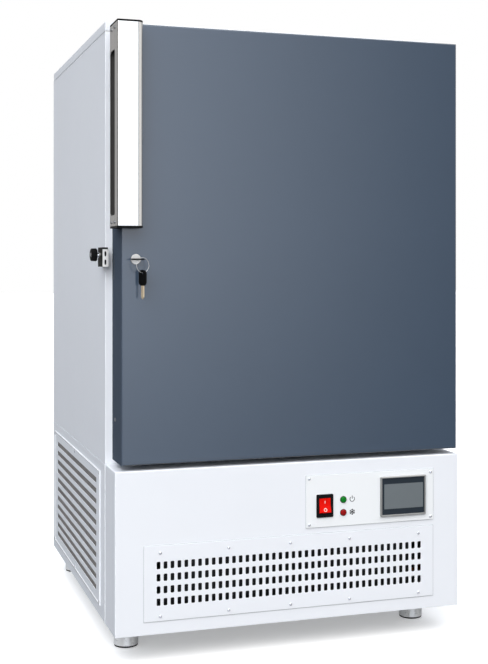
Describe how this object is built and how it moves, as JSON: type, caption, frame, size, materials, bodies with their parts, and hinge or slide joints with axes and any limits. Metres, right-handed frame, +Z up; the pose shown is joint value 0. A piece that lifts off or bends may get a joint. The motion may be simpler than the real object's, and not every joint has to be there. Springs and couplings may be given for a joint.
{
  "type": "ultra low temperature freezer",
  "caption": "Upright ultra low temperature freezer with a slate door, folded steel handle, key lock, base with control plate and slotted grille, louvred sides and levelling feet.",
  "frame": {"origin": "on the floor under the centre of the cabinet and base footprint, 800 mm wide and 852 mm deep", "axes": "+Z up, +X to the right seen from the front, +Y to the back; the door faces -Y"},
  "size_m": [0.853, 0.919, 1.373],
  "materials": {
    "white_paint": "satin",
    "slate_paint": "satin",
    "galvanised_steel": "matte",
    "stainless_steel": "satin",
    "bright_steel": "polished",
    "black_plastic": "satin",
    "grey_plastic": "satin",
    "white_plastic": "satin",
    "red_plastic": "gloss",
    "green_lens": "gloss",
    "red_lens": "gloss",
    "display_glass": "gloss",
    "gasket_rubber": "matte",
    "black_rubber": "matte",
    "filter_mesh": "matte",
    "foam": "matte",
    "black_enamel": "satin",
    "aluminium_fins": "satin",
    "copper": "satin",
    "key_brass": "satin"
  },
  "bodies": {
    "cabinet": {"base_tray": "galvanised_steel", "base_frame": "galvanised_steel", "base_front_panel": "white_paint", "front_grille": "white_paint", "base_panels": "white_paint", "side_louvres": "white_paint", "side_filters": "filter_mesh", "cord_gland": "black_plastic", "cabinet_shell": "white_paint", "top_cover": "white_paint", "breaker_collar": "white_plastic", "chamber_liner": "stainless_steel", "cabinet_foam": "foam", "shelf_supports": "stainless_steel", "shelves": "stainless_steel", "inner_hinge_ears": "stainless_steel", "hinge_cabinet_leaves": "stainless_steel", "strike_body": "black_plastic", "strike_plate": "bright_steel", "control_plate": "white_paint", "rocker_frame": "black_plastic", "power_lamp": "green_lens", "cooling_lamp": "red_lens", "display_frame": "stainless_steel", "display_glass": "display_glass", "panel_screws": "bright_steel", "condenser": "aluminium_fins", "fan_shroud": "black_enamel", "fan_motor": "galvanised_steel", "high_stage_compressor": "black_enamel", "low_stage_compressor": "black_enamel", "compressor_grommets": "black_rubber", "cascade_exchanger": "foam", "refrigerant_lines": "copper"},
    "door": {"door_skin": "slate_paint", "door_liner": "white_paint", "door_foam": "foam", "door_gasket": "gasket_rubber", "handle_channel": "stainless_steel", "handle_mounts": "black_plastic", "door_fasteners": "bright_steel", "hinge_door_leaves": "stainless_steel", "lock_body": "bright_steel"},
    "upper_inner": {"upper_inner_door": "white_plastic"},
    "lower_inner": {"lower_inner_door": "white_plastic"},
    "lock": {"lock_cylinder": "bright_steel"},
    "key": {"lock_key": "black_plastic"},
    "ring": {"key_ring": "bright_steel"},
    "spare": {"spare_key": "black_plastic"},
    "rocker": {"rocker_switch": "red_plastic"},
    "strike_knob": {"strike_knob": "black_plastic"},
    "fan": {"fan_rotor": "black_plastic"},
    "front_left_pad": {"front_left_pad": "black_rubber"},
    "front_left_bell": {"front_left_foot": "stainless_steel"},
    "front_right_pad": {"front_right_pad": "black_rubber"},
    "front_right_bell": {"front_right_foot": "stainless_steel"},
    "rear_left_pad": {"rear_left_pad": "black_rubber"},
    "rear_left_bell": {"rear_left_foot": "stainless_steel"},
    "rear_right_pad": {"rear_right_pad": "black_rubber"},
    "rear_right_bell": {"rear_right_foot": "stainless_steel"}
  },
  "joints": [
    {"name": "door_swing", "type": "hinge", "parent": "cabinet", "child": "door", "pos_m": [0.412, -0.3255, 0.885], "axis": [0, 0, 1], "range_deg": [0, 115]},
    {"name": "upper_inner_swing", "type": "hinge", "parent": "cabinet", "child": "upper_inner", "pos_m": [0.256, -0.284, 1.068], "axis": [0, 0, 1], "range_deg": [0, 92]},
    {"name": "lower_inner_swing", "type": "hinge", "parent": "cabinet", "child": "lower_inner", "pos_m": [0.256, -0.284, 0.702], "axis": [0, 0, 1], "range_deg": [0, 92]},
    {"name": "lock_turn", "type": "hinge", "parent": "door", "child": "lock", "pos_m": [-0.3555, -0.426, 0.854], "axis": [0, 1, 0], "range_deg": [0, 90]},
    {"name": "key_pull", "type": "slide", "parent": "lock", "child": "key", "axis": [0, -1, 0], "range_m": [0, 0.03]},
    {"name": "ring_hang", "type": "hinge", "parent": "key", "child": "ring", "pos_m": [-0.3555, -0.4565, 0.854], "axis": [0, 1, 0], "range_deg": [-90, 0]},
    {"name": "spare_key_swing", "type": "hinge", "parent": "ring", "child": "spare", "pos_m": [-0.3466, -0.45272, 0.82593], "axis": [0.9205, 0.3907, 0], "range_deg": [-15, 15]},
    {"name": "rocker_press", "type": "hinge", "parent": "cabinet", "child": "rocker", "pos_m": [0.0705, -0.4255, 0.309], "axis": [1, 0, 0], "range_deg": [0, 18]},
    {"name": "strike_knob_turn", "type": "hinge", "parent": "cabinet", "child": "strike_knob", "pos_m": [-0.416, -0.3255, 0.864], "axis": [1, 0, 0], "continuous": true},
    {"name": "fan_spin", "type": "hinge", "parent": "cabinet", "child": "fan", "pos_m": [0, -0.349, 0.171], "axis": [0, 1, 0], "continuous": true},
    {"name": "front_left_rise", "type": "slide", "parent": "cabinet", "child": "front_left_pad", "axis": [0, 0, 1], "range_m": [0, 0.012]},
    {"name": "front_left_turn", "type": "hinge", "parent": "front_left_pad", "child": "front_left_bell", "pos_m": [-0.347, -0.288, 0], "axis": [0, 0, 1], "range_deg": [0, 2460]},
    {"name": "front_right_rise", "type": "slide", "parent": "cabinet", "child": "front_right_pad", "axis": [0, 0, 1], "range_m": [0, 0.012]},
    {"name": "front_right_turn", "type": "hinge", "parent": "front_right_pad", "child": "front_right_bell", "pos_m": [0.347, -0.288, 0], "axis": [0, 0, 1], "range_deg": [0, 2460]},
    {"name": "rear_left_rise", "type": "slide", "parent": "cabinet", "child": "rear_left_pad", "axis": [0, 0, 1], "range_m": [0, 0.012]},
    {"name": "rear_left_turn", "type": "hinge", "parent": "rear_left_pad", "child": "rear_left_bell", "pos_m": [-0.347, 0.378, 0], "axis": [0, 0, 1], "range_deg": [0, 2460]},
    {"name": "rear_right_rise", "type": "slide", "parent": "cabinet", "child": "rear_right_pad", "axis": [0, 0, 1], "range_m": [0, 0.012]},
    {"name": "rear_right_turn", "type": "hinge", "parent": "rear_right_pad", "child": "rear_right_bell", "pos_m": [0.347, 0.378, 0], "axis": [0, 0, 1], "range_deg": [0, 2460]}
  ],
  "couplings": [
    {"joint": "upper_inner_swing", "follows": "door_swing", "ratio": 0.8},
    {"joint": "lower_inner_swing", "follows": "door_swing", "ratio": 0.8},
    {"joint": "ring_hang", "follows": "lock_turn", "ratio": -1},
    {"joint": "front_left_rise", "follows": "front_left_turn", "m_per_rad": 0.00027852},
    {"joint": "front_right_rise", "follows": "front_right_turn", "m_per_rad": 0.00027852},
    {"joint": "rear_left_rise", "follows": "rear_left_turn", "m_per_rad": 0.00027852},
    {"joint": "rear_right_rise", "follows": "rear_right_turn", "m_per_rad": 0.00027852}
  ]
}
